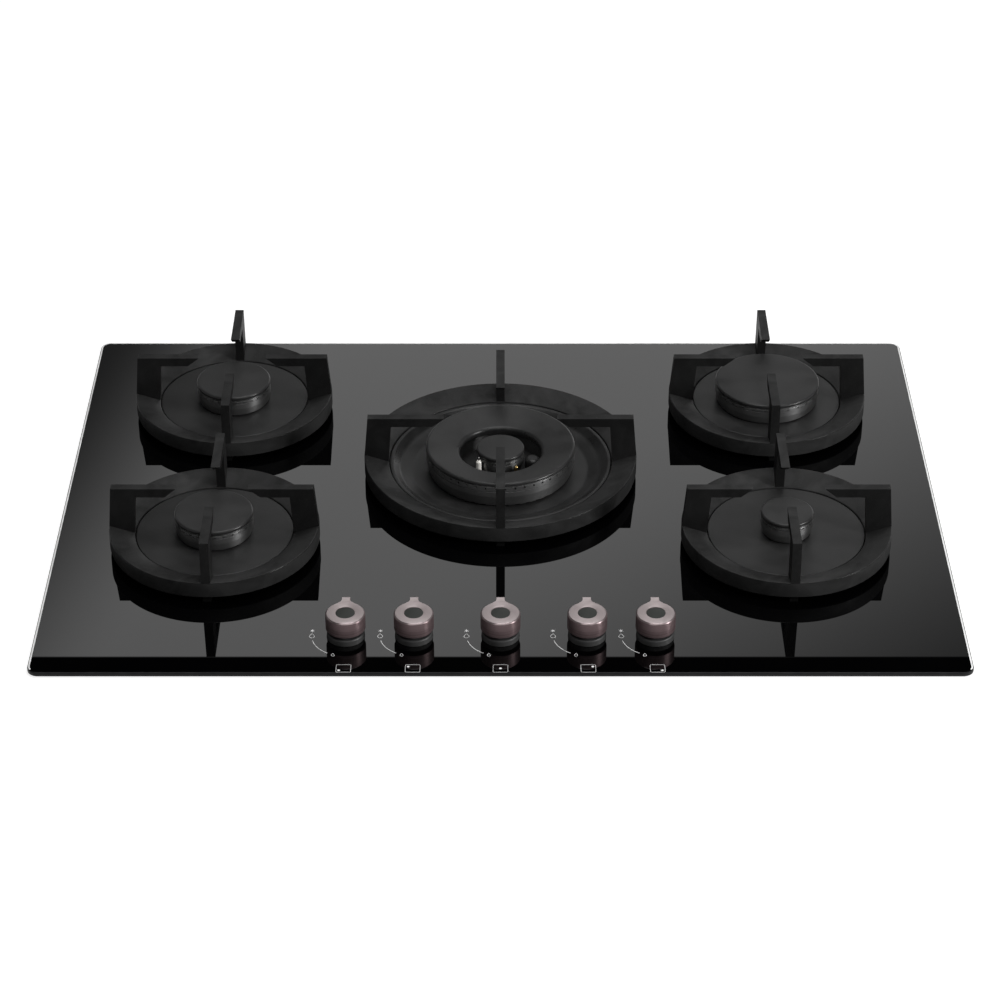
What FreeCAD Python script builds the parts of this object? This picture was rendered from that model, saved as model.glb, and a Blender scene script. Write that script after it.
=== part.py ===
"""Built-in gas cooktop: a glass top with five burners over a sheet-metal burner box.

Units are millimetres. X points right, Y points to the back and Z points up.
The origin is the centre of the worktop plane that the edge seal rests on, so
everything with a negative height hangs inside the worktop's cut-out.
"""
import FreeCAD, Part
import math
import os

# glass top and its seal
glass_width = 750.0
glass_depth = 520.0
glass_thickness = 4.0
glass_corner_radius = 9.0
glass_bevel = 0.8
seal_thickness = 1.0
seal_inset = 3.0
seal_band = 12.0

# burner box that hangs in the cut-out
cutout_width = 560.0
cutout_depth = 480.0
cutout_clearance = 3.5
box_height = 45.0
box_sheet = 0.8
box_lip = 7.0

# where the burners stand
side_offset = 240.0
front_row = -77.5
rear_row = 137.5
centre_row = 34.0

# pan supports
ring_outer_radius = 88.0
wok_ring_outer_radius = 118.5
ring_width = 21.5
ring_outer_height = 20.2
ring_fall = 7.2
foot_height = 5.7
foot_length = 9.0
foot_width = 7.0
arm_thickness = 7.5
arm_height = 56.6
arm_bar_depth = 8.1
arm_end_draft = 3.4
leg_width = 20.2
leg_draft = 2.8
arm_tip_radius = 30.0
wok_arm_tip_radius = 49.0
arm_tip_slant = 10.0

# spill dishes
dish_height = 12.4
dish_gap = 0.5
wok_floor_height = 4.0
wok_floor_radius = 80.0
seat_depth = 1.0

# burners: the radius of each cap, and of the cup under it
auxiliary_cap_radius = 22.0
auxiliary_cup_radius = 14.0
semi_rapid_cap_radius = 33.0
semi_rapid_cup_radius = 20.0
rapid_cap_radius = 46.5
rapid_cup_radius = 24.0
wok_cap_radius = 65.0
wok_cup_radius = 48.0
wok_feed_radius = 3.9
wok_hole_radius = 35.5
wok_inner_cap_radius = 20.9
wok_inner_neck_radius = 13.0

cap_thickness = 4.0
cap_top_height = 32.8
wok_cap_top_height = 30.0
wok_inner_top_height = 26.2
wok_lip_depth = 5.3
wok_lip_wall = 2.4
crown_skirt_height = 19.0
wok_skirt_height = 12.5
crown_wall = 6.0
wok_channel_rim = 5.0
port_width = 1.7
port_depth = 2.4
port_pitch = 20.0
cup_wall = 4.5
cup_floor = 4.0
cup_bottom = -28.0
cup_clearance = 0.3
glass_hole_clearance = 1.5
injector_radius = 3.6
injector_height = 9.0

# ignition and flame sensing beside each burner
electrode_radius = 2.4
electrode_height = 10.0
pin_width = 1.2
pin_height = 3.0
probe_radius = 1.6
probe_height = 12.0
sensor_standoff = 4.0
sensor_spacing = 12.0
wok_electrode_place = (-18.8, -14.8)
wok_probe_place = (13.5, -21.5)
wok_electrode_top = 21.5
wok_probe_top = 20.5

# knobs
knob_row = -210.3
inner_knob_pitch = 69.5
outer_knob_pitch = 124.3
knob_radius = 16.0
knob_top_height = 22.7
knob_bottom_height = 8.5
pointer_width = 6.6
pointer_reach = 21.5
pointer_depth = 6.0
collar_radius = 15.1
collar_bore_radius = 4.0
press_travel = 3.0
press_gap = 0.3
turn_gap = 0.08
spindle_radius = 3.0
spindle_hole_radius = 5.0
spindle_end = -19.0

# taps on the gas rail
tap_width = 22.0
tap_front = 9.0
tap_back = 19.5
tap_top = -9.0
tap_bottom = -36.0
tap_bore_spare = 2.0
rail_size = 13.0
rail_wall = 1.6
rail_left = -150.0
rail_height = -26.0
riser_width = 11.0
pipe_radius = 4.0
pipe_height = -22.0
pipe_gap = 0.3
wok_pipe_spacing = 12.0
supply_pipe_radius = 5.0
supply_height = -15.0
wall_space = 1.2

# gas inlet in the raised corner of the box
pocket_width = 40.0
pocket_depth = 52.0
pocket_height = 17.0
inlet_thread_radius = 10.48
inlet_neck_radius = 9.5
inlet_neck_clearance = 0.4
inlet_flange_radius = 14.0
inlet_flange_height = 4.0
inlet_bore_radius = 6.5
inlet_block_size = 28.0
inlet_block_height = 17.0
inlet_end_gap = 1.0

# electrical pieces
slider_thickness = 1.2
slider_top = -2.0
slider_width = 14.0
slider_front = 18.0
slider_back = 6.0
slider_gap = 0.05
switch_width = 12.0
switch_depth = 9.0
switch_button = 3.0
switch_body_height = 10.0
generator_size = (70.0, 40.0, 22.0)
generator_place = (-155.0, 190.0)
generator_ear = 8.0
generator_ear_height = 3.0
terminal_size = (40.0, 22.0, 15.0)
terminal_place = (-228.0, 214.0)
gland_radius = 5.2
gland_hole_radius = 5.5
gland_bore_radius = 3.6
gland_place = (-228.0, -35.6)
gland_inside = 8.0
gland_outside = 3.0

# worktop clamps
clamp_side = 150.0
clamp_width = 24.0
clamp_plate = 2.0
clamp_reach = 24.0
clamp_leg_top = -14.0
clamp_foot_top = -36.0
clamp_slot = 5.6
slot_place = 15.0
bracket_width = 20.0
bracket_places = (-138.0, 0.0, 138.0)
bracket_span = 24.0
bracket_flange = 8.0

# heights and sizes that follow from the values above
glass_bottom = seal_thickness
glass_top = glass_bottom + glass_thickness
box_width = cutout_width - 2 * cutout_clearance
box_depth = cutout_depth - 2 * cutout_clearance
box_floor = glass_bottom - box_height
ring_bottom = glass_top + foot_height
arm_top = glass_top + arm_height
dish_top = glass_top + dish_height
collar_top = glass_top + knob_bottom_height - press_travel - press_gap
knob_top = glass_top + knob_top_height
knob_bottom = glass_top + knob_bottom_height
rail_back = knob_row - tap_front
rail_right = box_width / 2 - box_sheet - wall_space
supply_place = rail_right - supply_pipe_radius
up = FreeCAD.Vector(0, 0, 1)

small_burners = {
    "front_left": (-side_offset, front_row, semi_rapid_cap_radius, semi_rapid_cup_radius),
    "rear_left": (-side_offset, rear_row, semi_rapid_cap_radius, semi_rapid_cup_radius),
    "rear_right": (side_offset, rear_row, rapid_cap_radius, rapid_cup_radius),
    "front_right": (side_offset, front_row, auxiliary_cap_radius, auxiliary_cup_radius),
}
wok_place = (0.0, centre_row)
knob_places = {
    "front_left": -outer_knob_pitch,
    "rear_left": -inner_knob_pitch,
    "centre": 0.0,
    "rear_right": inner_knob_pitch,
    "front_right": outer_knob_pitch,
}


def turned(profile, x=0.0, y=0.0):
    """A solid turned about an upright axis, from (radius, height) points."""
    points = [FreeCAD.Vector(radius, 0, height) for radius, height in profile]
    outline = Part.Face(Part.makePolygon(points + points[:1]))
    solid = outline.revolve(FreeCAD.Vector(), up, 360)
    solid.translate(FreeCAD.Vector(x, y, 0))
    return solid


def block(left, right, front, back, low, high):
    corner = FreeCAD.Vector(left, front, low)
    return Part.makeBox(right - left, back - front, high - low, corner)


def rounded_slab(width, depth, low, high, radius):
    slab = block(-width / 2, width / 2, -depth / 2, depth / 2, low, high)
    upright = [edge for edge in slab.Edges if abs(edge.tangentAt(edge.FirstParameter).z) > 0.9]
    return slab.makeFillet(radius, upright)


def post(radius, low, high, x=0.0, y=0.0):
    return Part.makeCylinder(radius, high - low, FreeCAD.Vector(x, y, low), up)


def rod(radius, start, end):
    path = FreeCAD.Vector(*end) - FreeCAD.Vector(*start)
    return Part.makeCylinder(radius, path.Length, FreeCAD.Vector(*start), path)


def plate(outline, low, high):
    """An upright prism over an outline of (x, y) points."""
    points = [FreeCAD.Vector(x, y, low) for x, y in outline]
    return Part.Face(Part.makePolygon(points + points[:1])).extrude(FreeCAD.Vector(0, 0, high - low))


def rail_section(outline, length):
    """A straight piece along X, over an outline of (y, z) points."""
    points = [FreeCAD.Vector(-length / 2, y, z) for y, z in outline]
    return Part.Face(Part.makePolygon(points + points[:1])).extrude(FreeCAD.Vector(length, 0, 0))


def prism(sides, radius, low, high, x, y):
    corners = [2 * math.pi * turn / sides for turn in range(sides)]
    return plate([(x + radius * math.cos(a), y + radius * math.sin(a)) for a in corners], low, high)


def placed(solid, x, y, turn=0.0):
    copy = solid.copy()
    copy.rotate(FreeCAD.Vector(), up, turn)
    copy.translate(FreeCAD.Vector(x, y, 0))
    return copy


def save(name, solids):
    shape = solids[0] if len(solids) == 1 else Part.makeCompound(solids)
    shape.exportStep("parts/" + name + ".step")
    print(name, len(solids), "solids,", round(shape.Volume / 1000, 1), "cm3")


def glass():
    slab = rounded_slab(glass_width, glass_depth, glass_bottom, glass_top, glass_corner_radius)
    rim = [edge for edge in slab.Edges if edge.BoundBox.ZMin > glass_top - 0.001]
    slab = slab.makeChamfer(glass_bevel, rim)
    low, high = glass_bottom - 1, glass_top + 1
    holes = [post(cup + glass_hole_clearance, low, high, x, y) for x, y, _, cup in small_burners.values()]
    holes.append(post(wok_cup_radius + glass_hole_clearance, low, high, *wok_place))
    holes += [post(spindle_hole_radius, low, high, x, knob_row) for x in knob_places.values()]
    return slab.cut(Part.makeCompound(holes))


def edge_seal():
    width = glass_width - 2 * seal_inset
    depth = glass_depth - 2 * seal_inset
    radius = glass_corner_radius - seal_inset
    slab = rounded_slab(width, depth, 0, seal_thickness, radius)
    inside = (width / 2 - seal_band, depth / 2 - seal_band)
    return slab.cut(block(-inside[0], inside[0], -inside[1], inside[1], -1, seal_thickness + 1))


def inlet_pocket(wall):
    """The raised corner of the box at the rear right, grown by the wall for its inner side."""
    right, back = box_width / 2 + 1, box_depth / 2 + 1
    left = box_width / 2 - pocket_width - wall
    front = box_depth / 2 - pocket_depth - wall
    return block(left, right, front, back, box_floor - 1, box_floor + pocket_height + wall)


def burner_box():
    """A folded sheet-metal tray with an inward lip under the glass."""
    side, end = box_width / 2, box_depth / 2
    shell = block(-side, side, -end, end, box_floor, glass_bottom).cut(inlet_pocket(0))
    side, end = side - box_sheet, end - box_sheet
    hollow = block(-side, side, -end, end, box_floor + box_sheet, glass_bottom - box_sheet)
    hollow = hollow.cut(inlet_pocket(box_sheet))
    side, end = side - box_lip, end - box_lip
    opening = block(-side, side, -end, end, glass_bottom - 2 * box_sheet, glass_bottom + 1)
    pocket_top = box_floor + pocket_height
    hole_radius = inlet_neck_radius + inlet_neck_clearance
    inlet_hole = post(hole_radius, pocket_top - 1, pocket_top + 2, *inlet_place())
    gland_x, gland_z = gland_place
    wall = box_depth / 2
    gland_hole = rod(gland_hole_radius, (gland_x, wall - 2, gland_z), (gland_x, wall + 1, gland_z))
    return shell.cut(hollow).cut(opening).cut(inlet_hole).cut(gland_hole)


def arm_profile(outer, tip):
    """One arm of a pan support seen from its side, as (distance from the centre, height) points."""
    foot = math.sqrt(outer**2 - (arm_thickness / 2) ** 2)
    rim = glass_top + ring_outer_height
    under_bar = arm_top - arm_bar_depth
    leg_top_inner = outer - arm_end_draft - leg_width
    return [
        (foot - arm_end_draft / 2, ring_bottom + foot_height / 2),
        (foot, rim),
        (outer - arm_end_draft, arm_top),
        (tip, arm_top),
        (tip + arm_tip_slant, under_bar),
        (leg_top_inner, under_bar),
        (leg_top_inner + leg_draft, ring_bottom + foot_height / 2),
    ]


def pan_support(outer, tip):
    """A cast ring that slopes down to its inner edge, with four arms on drafted legs."""
    inner = outer - ring_width
    rim = glass_top + ring_outer_height
    ring = turned([(inner, ring_bottom), (outer, ring_bottom), (outer, rim), (inner, rim - ring_fall)])
    points = [FreeCAD.Vector(x, -arm_thickness / 2, z) for x, z in arm_profile(outer, tip)]
    arm = Part.Face(Part.makePolygon(points + points[:1])).extrude(FreeCAD.Vector(0, arm_thickness, 0))
    arms = [placed(arm, 0, 0, 90 * turn) for turn in range(4)]
    return ring.multiFuse(arms).removeSplitter()


def support_feet(outer):
    """Four rubber pads under the ring, below the arms."""
    middle = outer - ring_width / 2 + arm_end_draft
    reach = foot_length / 2
    half = foot_width / 2
    pad = block(middle - reach, middle + reach, -half, half, glass_top, ring_bottom)
    return [placed(pad, 0, 0, 90 * turn) for turn in range(4)]


def small_dish(x, y, cup):
    """A flat cast disc that fills the ring of the pan support."""
    edge = ring_outer_radius - ring_width - dish_gap
    hole = cup + cup_clearance
    return turned([(hole, glass_top), (edge, glass_top), (edge, dish_top), (hole, dish_top)], x, y)


def wok_dish():
    """The middle dish: a low floor round the double burner, and a sloped rim."""
    edge = wok_ring_outer_radius - ring_width - dish_gap
    hole = wok_cup_radius + cup_clearance
    floor = glass_top + wok_floor_height
    profile = [(hole, glass_top), (edge, glass_top), (edge, dish_top)]
    profile += [(wok_floor_radius, floor), (hole, floor)]
    return turned(profile, *wok_place)


def cup_body(radius, seat, x, y):
    """The gas cup under a burner, open upwards, with its top face as the seat of the crown."""
    bore = radius - cup_wall
    floor = cup_bottom + cup_floor
    profile = [(bore, seat), (radius, seat), (radius, cup_bottom)]
    profile += [(0, cup_bottom), (0, floor), (bore, floor)]
    return turned(profile, x, y)


def wok_cup():
    """The cup of the double burner: a middle bore, and a small bore that feeds the outer ring."""
    x, y = wok_place
    seat = glass_top + wok_floor_height - seat_depth
    floor = cup_bottom + cup_floor
    body = post(wok_cup_radius, cup_bottom, seat, x, y)
    body = body.cut(post(wok_inner_neck_radius - cup_wall, floor, seat + 1, x, y))
    return body.cut(outer_feed(floor, seat + 1))


def outer_feed_place():
    x, y = wok_place
    return x + (wok_cup_radius + wok_hole_radius + wok_lip_wall) / 2, y


def outer_feed(low, high):
    """The bore that takes gas up to the outer ring of the double burner."""
    return post(wok_feed_radius, low, high, *outer_feed_place())


def ported(crown, bore, radius, top, x, y):
    """Cuts the row of ports: slots under the cap, from the bore out through the rim."""
    count = 4 * round(2 * math.pi * radius / port_pitch / 4)
    cutter = block(bore, radius + 2, -port_width / 2, port_width / 2, top - port_depth, top + 1)
    ports = [placed(cutter, x, y, 360 * (turn + 0.5) / count) for turn in range(count)]
    return crown.cut(Part.makeCompound(ports))


def crown(radius, neck, seat, skirt, top, x, y):
    """A burner crown: a skirted head on a narrower bored neck, with ports under its cap."""
    bore = neck - crown_wall
    profile = [(bore, seat), (neck, seat), (neck, skirt), (radius, skirt), (radius, top), (bore, top)]
    return ported(turned(profile, x, y), radius - crown_wall, radius, top, x, y)


def small_crown(x, y, radius, cup):
    skirt = glass_top + crown_skirt_height
    top = glass_top + cap_top_height - cap_thickness
    return crown(radius, cup, dish_top - seat_depth, skirt, top, x, y)


def wok_outer_crown():
    """The outer ring of the double burner, with a gas channel under its ring cap."""
    x, y = wok_place
    seat = glass_top + wok_floor_height - seat_depth
    top = glass_top + wok_cap_top_height - cap_thickness
    skirt = glass_top + wok_skirt_height
    hole = wok_hole_radius + wok_lip_wall + cup_clearance
    channel = (hole + wok_channel_rim, wok_cap_radius - wok_channel_rim)
    profile = [(hole, seat), (wok_cup_radius, seat), (wok_cup_radius, skirt), (wok_cap_radius, skirt)]
    profile += [(wok_cap_radius, top), (channel[1], top), (channel[1], skirt + wok_channel_rim)]
    profile += [(channel[0], skirt + wok_channel_rim), (channel[0], top), (hole, top)]
    ring = turned(profile, x, y).cut(outer_feed(seat - 1, skirt + wok_channel_rim))
    return ported(ring, channel[1], wok_cap_radius, top, x, y)


def wok_inner_crown():
    x, y = wok_place
    seat = glass_top + wok_floor_height - seat_depth
    top = glass_top + wok_inner_top_height - cap_thickness
    skirt = glass_top + wok_skirt_height
    return crown(wok_inner_cap_radius, wok_inner_neck_radius, seat, skirt, top, x, y)


def cap(radius, top_height, x, y):
    top = glass_top + top_height
    bottom = top - cap_thickness
    return turned([(0, bottom), (radius, bottom), (radius, top), (0, top)], x, y)


def wok_ring_cap():
    """The ring cap, with a lip that hangs inside the crown's hole."""
    top = glass_top + wok_cap_top_height
    bottom = top - cap_thickness
    lip = wok_hole_radius + wok_lip_wall
    profile = [(wok_hole_radius, top - wok_lip_depth), (lip, top - wok_lip_depth), (lip, bottom)]
    profile += [(wok_cap_radius, bottom), (wok_cap_radius, top), (wok_hole_radius, top)]
    return turned(profile, *wok_place)


def sensor_places():
    """Where the electrode and the flame probe of each burner stand, as (x, y, foot, top) pairs."""
    places = []
    for x, y, cap_radius, _ in small_burners.values():
        back = y + cap_radius + sensor_standoff
        left, right = x - sensor_spacing / 2, x + sensor_spacing / 2
        electrode = (left, back, dish_top, dish_top + electrode_height)
        probe = (right, back, dish_top, dish_top + probe_height)
        places.append((electrode, probe))
    x, y = wok_place
    seat = glass_top + wok_floor_height - seat_depth
    electrode = (x + wok_electrode_place[0], y + wok_electrode_place[1], seat, glass_top + wok_electrode_top)
    probe = (x + wok_probe_place[0], y + wok_probe_place[1], seat, glass_top + wok_probe_top)
    places.append((electrode, probe))
    return places


def electrode_insulator(x, y, foot, top):
    return prism(8, electrode_radius, foot, top, x, y)


def electrode_pin(x, y, foot, top):
    half = pin_width / 2
    return block(x - half, x + half, y - half, y + half, top, top + pin_height)


def flame_probe(x, y, foot, top):
    return prism(6, probe_radius, foot, top, x, y)


def knob():
    """A turned metal knob with a pointer at its top edge, on its tap spindle."""
    profile = [(0, spindle_end), (spindle_radius, spindle_end), (spindle_radius, knob_bottom)]
    profile += [(knob_radius, knob_bottom), (knob_radius, knob_top), (0, knob_top)]
    half = pointer_width / 2
    pointer = block(-half, half, 0, pointer_reach, knob_top - pointer_depth, knob_top)
    return turned(profile).fuse(pointer).removeSplitter()


def knob_collar():
    """The fixed trim ring that the spindle comes out of."""
    bore, edge = collar_bore_radius, collar_radius
    return turned([(bore, glass_top), (edge, glass_top), (edge, collar_top), (bore, collar_top)])


def slider():
    """A forked plate on the spindle, which the press moves down onto the ignition switch."""
    half = slider_width / 2
    slot = spindle_radius + slider_gap
    outline = [(-half, -slider_front), (half, -slider_front), (half, slider_back), (slot, slider_back)]
    outline += [(slot, -slot), (-slot, -slot), (-slot, slider_back), (-half, slider_back)]
    return plate(outline, slider_top - slider_thickness, slider_top)


def ignition_switch():
    """A switch on the gas rail, with its button under the slider's front end."""
    foot = rail_height + rail_size / 2
    body_top = foot + switch_body_height
    button_top = slider_top - slider_thickness - press_travel - press_gap
    back = -tap_front - 1
    front = back - switch_depth
    half = switch_width / 2
    middle = (-slider_front - tap_front) / 2
    body = block(-half, half, front, back, foot, body_top)
    reach = switch_button / 2
    button = block(-reach, reach, middle - reach, middle + reach, body_top - 1, button_top)
    return body.fuse(button)


def tap_body():
    """A gas tap: a cast block on the rail, bored for the spindle."""
    half = tap_width / 2
    body = block(-half, half, -tap_front, tap_back, tap_bottom, tap_top)
    return body.cut(post(spindle_radius + turn_gap, spindle_end - press_travel - tap_bore_spare, tap_top + 1))


def gas_rail():
    """A square tube in front of the taps, with a riser at its right end."""
    half = rail_size / 2
    front = rail_back - rail_size
    bar = block(rail_left, rail_right, front, rail_back, rail_height - half, rail_height + half)
    riser_top = supply_height + supply_pipe_radius + rail_wall
    riser = block(rail_right - riser_width, rail_right, front, rail_back, rail_height, riser_top)
    inside = block(
        rail_left + rail_wall,
        rail_right - rail_wall,
        front + rail_wall,
        rail_back - rail_wall,
        rail_height - half + rail_wall,
        rail_height + half - rail_wall,
    )
    mouth = rod(
        supply_pipe_radius - rail_wall,
        (supply_place, rail_back + 1, supply_height),
        (supply_place, rail_back - rail_wall, supply_height),
    )
    return bar.fuse(riser).removeSplitter().cut(mouth).cut(inside)


def gas_pipe(start, end, cup):
    """A straight pipe from a tap's back face to the side of a burner cup."""
    run = FreeCAD.Vector(end[0] - start[0], end[1] - start[1], 0)
    along = run / run.Length
    lean = abs(along.x)
    clear = (pipe_gap + pipe_radius * lean) / math.sqrt(1 - lean**2)
    first = FreeCAD.Vector(start[0], start[1], pipe_height) + along * clear
    last = FreeCAD.Vector(end[0], end[1], pipe_height) - along * (cup + pipe_gap)
    return rod(pipe_radius, first, last)


def gas_pipes():
    start_row = knob_row + tap_back
    pipes = []
    for name, (x, y, _, cup) in small_burners.items():
        pipes.append(gas_pipe((knob_places[name], start_row), (x, y), cup))
    for side in (-1, 1):
        x = side * wok_pipe_spacing / 2
        reach = math.sqrt(wok_cup_radius**2 - (abs(x) - pipe_radius) ** 2)
        pipes.append(gas_pipe((x, start_row), (x, centre_row), reach))
    return pipes


def inlet_place():
    x = box_width / 2 - box_sheet - wall_space - inlet_block_size / 2
    y = box_depth / 2 - box_sheet - wall_space - inlet_block_size / 2
    return x, y


def supply_pipe():
    end = inlet_place()[1] - inlet_block_size / 2
    start = (supply_place, rail_back, supply_height)
    return rod(supply_pipe_radius, start, (supply_place, end, supply_height))


def gas_inlet():
    """The inlet fitting: a block inside the box, and a threaded stub in the pocket below it."""
    x, y = inlet_place()
    half = inlet_block_size / 2
    pocket_top = box_floor + pocket_height
    foot = pocket_top + box_sheet
    body = block(x - half, x + half, y - half, y + half, foot, foot + inlet_block_height)
    end = box_floor + inlet_end_gap
    flange_top = pocket_top - pipe_gap
    flange_bottom = flange_top - inlet_flange_height
    flange = prism(6, inlet_flange_radius, flange_bottom, flange_top, x, y)
    thread = post(inlet_thread_radius, end, flange_bottom, x, y)
    neck = post(inlet_neck_radius, flange_top, foot, x, y)
    bore = post(inlet_bore_radius, end - 1, foot + half, x, y)
    return body.multiFuse([neck, flange, thread]).cut(bore)


def rail_bracket(x):
    """An angle that stands on the box floor and carries the rail."""
    foot = box_floor + box_sheet
    top = rail_height - rail_size / 2
    front = rail_back - rail_size
    outline = [(front, foot), (rail_back + rail_size, foot), (rail_back + rail_size, foot + clamp_plate)]
    outline += [(front + clamp_plate, foot + clamp_plate), (front + clamp_plate, top - clamp_plate)]
    outline += [(rail_back, top - clamp_plate), (rail_back, top), (front, top)]
    return placed(rail_section(outline, bracket_width), x, 0)


def burner_bracket(x, y):
    """A top-hat bracket of bent sheet that stands on the box floor and carries a burner cup."""
    foot = box_floor + box_sheet
    half = bracket_span / 2
    sheet = clamp_plate
    outline = [(-half - bracket_flange, foot), (-half, foot), (-half, cup_bottom - sheet)]
    outline += [(half, cup_bottom - sheet), (half, foot), (half + bracket_flange, foot)]
    outline += [(half + bracket_flange, foot + sheet), (half + sheet, foot + sheet)]
    outline += [(half + sheet, cup_bottom), (-half - sheet, cup_bottom)]
    outline += [(-half - sheet, foot + sheet), (-half - bracket_flange, foot + sheet)]
    return placed(rail_section(outline, bracket_width), x, y)


def spark_generator():
    width, depth, height = generator_size
    foot = box_floor + box_sheet
    body = block(-width / 2, width / 2, -depth / 2, depth / 2, foot, foot + height)
    reach = width / 2 + generator_ear
    ears = block(-reach, reach, -depth / 4, depth / 4, foot, foot + generator_ear_height)
    return placed(body.fuse(ears).removeSplitter(), *generator_place)


def terminal_block():
    width, depth, height = terminal_size
    foot = box_floor + box_sheet
    body = block(-width / 2, width / 2, -depth / 2, depth / 2, foot, foot + height)
    step = block(-width / 2 - 1, width / 2 + 1, -depth / 2 - 1, 0, foot + height / 2, foot + height + 1)
    return placed(body.cut(step), *terminal_place)


def cable_gland():
    x, z = gland_place
    wall = box_depth / 2
    start, end = (x, wall - gland_inside, z), (x, wall + gland_outside, z)
    return rod(gland_radius, start, end).cut(rod(gland_bore_radius, start, end))


def worktop_clamp():
    """An angle on the side of the box, with a slotted foot for the clamp screw."""
    wall = box_width / 2
    outline = [(wall, clamp_leg_top), (wall + clamp_plate, clamp_leg_top)]
    outline += [(wall + clamp_plate, clamp_foot_top), (wall + clamp_reach, clamp_foot_top)]
    outline += [(wall + clamp_reach, clamp_foot_top - clamp_plate), (wall, clamp_foot_top - clamp_plate)]
    points = [FreeCAD.Vector(x, -clamp_width / 2, z) for x, z in outline]
    angle = Part.Face(Part.makePolygon(points + points[:1])).extrude(FreeCAD.Vector(0, clamp_width, 0))
    half = clamp_slot / 2
    slot = block(
        wall + slot_place - half,
        wall + clamp_reach + 1,
        -half,
        half,
        clamp_foot_top - clamp_plate - 1,
        clamp_foot_top + 1,
    )
    return angle.cut(slot)


def clamp_corners():
    return [(side, row) for side in (-1, 1) for row in (-1, 1)]


def fixing_clamps():
    turns = {1: 0, -1: 180}
    return [placed(worktop_clamp(), 0, row * clamp_side, turns[side]) for side, row in clamp_corners()]


def fixed_pieces():
    burners = small_burners.values()
    seat = dish_top - seat_depth
    sensors = sensor_places()
    save("glass_top", [glass()])
    save("edge_seal", [edge_seal()])
    save("burner_box", [burner_box()])
    save("fixing_clamps", fixing_clamps())
    save("spill_dishes", [small_dish(x, y, cup) for x, y, _, cup in burners] + [wok_dish()])
    save("burner_cups", [cup_body(cup, seat, x, y) for x, y, _, cup in burners] + [wok_cup()])
    brackets = [burner_bracket(x, y) for x, y, _, _ in burners]
    save("burner_brackets", brackets + [burner_bracket(*wok_place)])
    save("injectors", injectors())
    crowns = [small_crown(x, y, radius, cup) for x, y, radius, cup in burners]
    save("burner_crowns", crowns + [wok_outer_crown(), wok_inner_crown()])
    caps = [cap(radius, cap_top_height, x, y) for x, y, radius, _ in burners]
    caps += [wok_ring_cap(), cap(wok_inner_cap_radius, wok_inner_top_height, *wok_place)]
    save("burner_caps", caps)
    save("electrode_insulators", [electrode_insulator(*electrode) for electrode, _ in sensors])
    save("electrode_pins", [electrode_pin(*electrode) for electrode, _ in sensors])
    save("flame_probes", [flame_probe(*probe) for _, probe in sensors])
    save("knob_collars", [placed(knob_collar(), x, knob_row) for x in knob_places.values()])
    save("tap_bodies", [placed(tap_body(), x, knob_row) for x in knob_places.values()])
    switches = [placed(ignition_switch(), x, knob_row) for x in knob_places.values()]
    save("ignition_switches", switches)
    save("gas_rail", [gas_rail()])
    save("rail_brackets", [rail_bracket(x) for x in bracket_places])
    save("gas_pipes", gas_pipes())
    save("supply_pipe", [supply_pipe()])
    save("gas_inlet", [gas_inlet()])
    save("spark_generator", [spark_generator()])
    save("terminal_block", [terminal_block()])
    save("cable_gland", [cable_gland()])


def injectors():
    floor = cup_bottom + cup_floor
    top = floor + injector_height
    places = [(x, y) for x, y, _, _ in small_burners.values()]
    places += [wok_place, outer_feed_place()]
    return [prism(6, injector_radius, floor, top, x, y) for x, y in places]


def moving_pieces():
    for name, x in knob_places.items():
        save("knob_" + name, [placed(knob(), x, knob_row)])
        save("ignition_slider_" + name, [placed(slider(), x, knob_row)])
    stands = {}
    for name, (x, y, _, _) in small_burners.items():
        stands[name] = (x, y, ring_outer_radius, arm_tip_radius)
    stands["centre"] = (*wok_place, wok_ring_outer_radius, wok_arm_tip_radius)
    for name, (x, y, outer, tip) in stands.items():
        save("pan_support_" + name, [placed(pan_support(outer, tip), x, y)])
        save("support_feet_" + name, [placed(foot, x, y) for foot in support_feet(outer)])


os.makedirs("parts", exist_ok=True)
fixed_pieces()
moving_pieces()
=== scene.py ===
import math

import bmesh
import bpy
from mathutils import Matrix, Vector


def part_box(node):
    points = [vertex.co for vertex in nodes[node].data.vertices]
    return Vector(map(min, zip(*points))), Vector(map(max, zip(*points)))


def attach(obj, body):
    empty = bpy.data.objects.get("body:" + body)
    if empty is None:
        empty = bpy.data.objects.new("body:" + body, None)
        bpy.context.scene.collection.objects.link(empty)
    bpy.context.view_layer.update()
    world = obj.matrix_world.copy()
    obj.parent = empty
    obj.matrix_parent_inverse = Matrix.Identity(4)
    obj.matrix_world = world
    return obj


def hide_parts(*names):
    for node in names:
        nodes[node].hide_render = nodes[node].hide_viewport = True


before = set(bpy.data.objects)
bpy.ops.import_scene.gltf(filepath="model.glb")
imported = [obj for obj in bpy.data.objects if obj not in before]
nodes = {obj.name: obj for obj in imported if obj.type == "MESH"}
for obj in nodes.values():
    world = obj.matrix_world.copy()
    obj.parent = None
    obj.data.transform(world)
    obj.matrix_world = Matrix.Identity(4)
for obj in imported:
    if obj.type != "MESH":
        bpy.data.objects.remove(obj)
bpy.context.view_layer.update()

# the pieces' sizes are in millimetres, and a mesh becomes metres when its piece is made
mm = 0.001
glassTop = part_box("glass_top")[1].z / mm
burners = ["front_left", "rear_left", "centre", "rear_right", "front_right"]
fourCorners = ((-1, -1), (1, -1), (1, 1), (-1, 1))
print("frame loaded:", len(nodes), "nodes, glass top at", round(glassTop, 2), "mm")


def boxOf(node):
    low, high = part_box(node)
    return low / mm, high / mm


def middleOf(node):
    low, high = boxOf(node)
    return (low + high) / 2


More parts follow.
